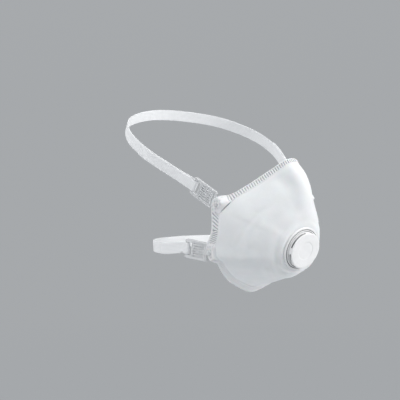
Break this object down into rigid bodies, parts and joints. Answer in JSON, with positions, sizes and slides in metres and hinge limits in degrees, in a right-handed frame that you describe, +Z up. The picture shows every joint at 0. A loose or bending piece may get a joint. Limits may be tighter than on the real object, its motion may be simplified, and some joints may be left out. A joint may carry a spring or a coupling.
{
  "type": "disposable dust mask",
  "caption": "Moulded cup dust mask with an exhalation valve and two elastic headbands held by clear swivelling buckles.",
  "frame": {"origin": "centre of the face opening, on the mask's middle plane, where the face seals against the rim", "axes": "+Z up the face, +Y into the wearer's face and out to the back of the head, +X to the wearer's left"},
  "size_m": [0.1586, 0.2015, 0.1607],
  "materials": {
    "moulded_nonwoven": "matt white needle-felt and spunbond, heat moulded",
    "filter_web": "matt meltblown web",
    "liner": "matt soft liner",
    "foam": "open-cell foam",
    "aluminium_strip": "satin",
    "valve_plastic": "smooth moulded white",
    "silicone": "thin translucent sheet",
    "clear_plastic": "clear moulded",
    "woven_elastic": "matt woven"
  },
  "bodies": {
    "mask": {"outer_shell": "moulded_nonwoven", "filter_layer": "filter_web", "inner_shell": "liner", "nose_foam": "foam", "nose_clip": "aluminium_strip", "valve_seat": "valve_plastic", "valve_retaining_ring": "valve_plastic", "flap_clamp": "valve_plastic", "valve_cover": "valve_plastic", "ear_stud_upper_right": "clear_plastic", "stud_cap_upper_right": "clear_plastic", "ear_stud_upper_left": "clear_plastic", "stud_cap_upper_left": "clear_plastic", "ear_stud_lower_right": "clear_plastic", "stud_cap_lower_right": "clear_plastic", "ear_stud_lower_left": "clear_plastic", "stud_cap_lower_left": "clear_plastic"},
    "upper_band": {"upper_headband": "woven_elastic", "buckle_upper_right": "clear_plastic", "buckle_upper_left": "clear_plastic"},
    "lower_band": {"lower_headband": "woven_elastic", "buckle_lower_right": "clear_plastic", "buckle_lower_left": "clear_plastic"},
    "flap": {"valve_flap": "silicone"}
  },
  "joints": [
    {"name": "upper_band_swing", "type": "hinge", "parent": "mask", "child": "upper_band", "pos_m": [0, 0.0068, 0.0195], "axis": [1, 0, 0], "range_deg": [-55, 15]},
    {"name": "lower_band_swing", "type": "hinge", "parent": "mask", "child": "lower_band", "pos_m": [0, 0.0152, -0.023], "axis": [1, 0, 0], "range_deg": [-45, 30]},
    {"name": "flap_lift", "type": "hinge", "parent": "mask", "child": "flap", "pos_m": [0, -0.04472, -0.00914], "axis": [-1, 0, 0], "range_deg": [0, 6], "stiffness_Nm_per_rad": 0.0002, "springref_deg": -17.19}
  ]
}
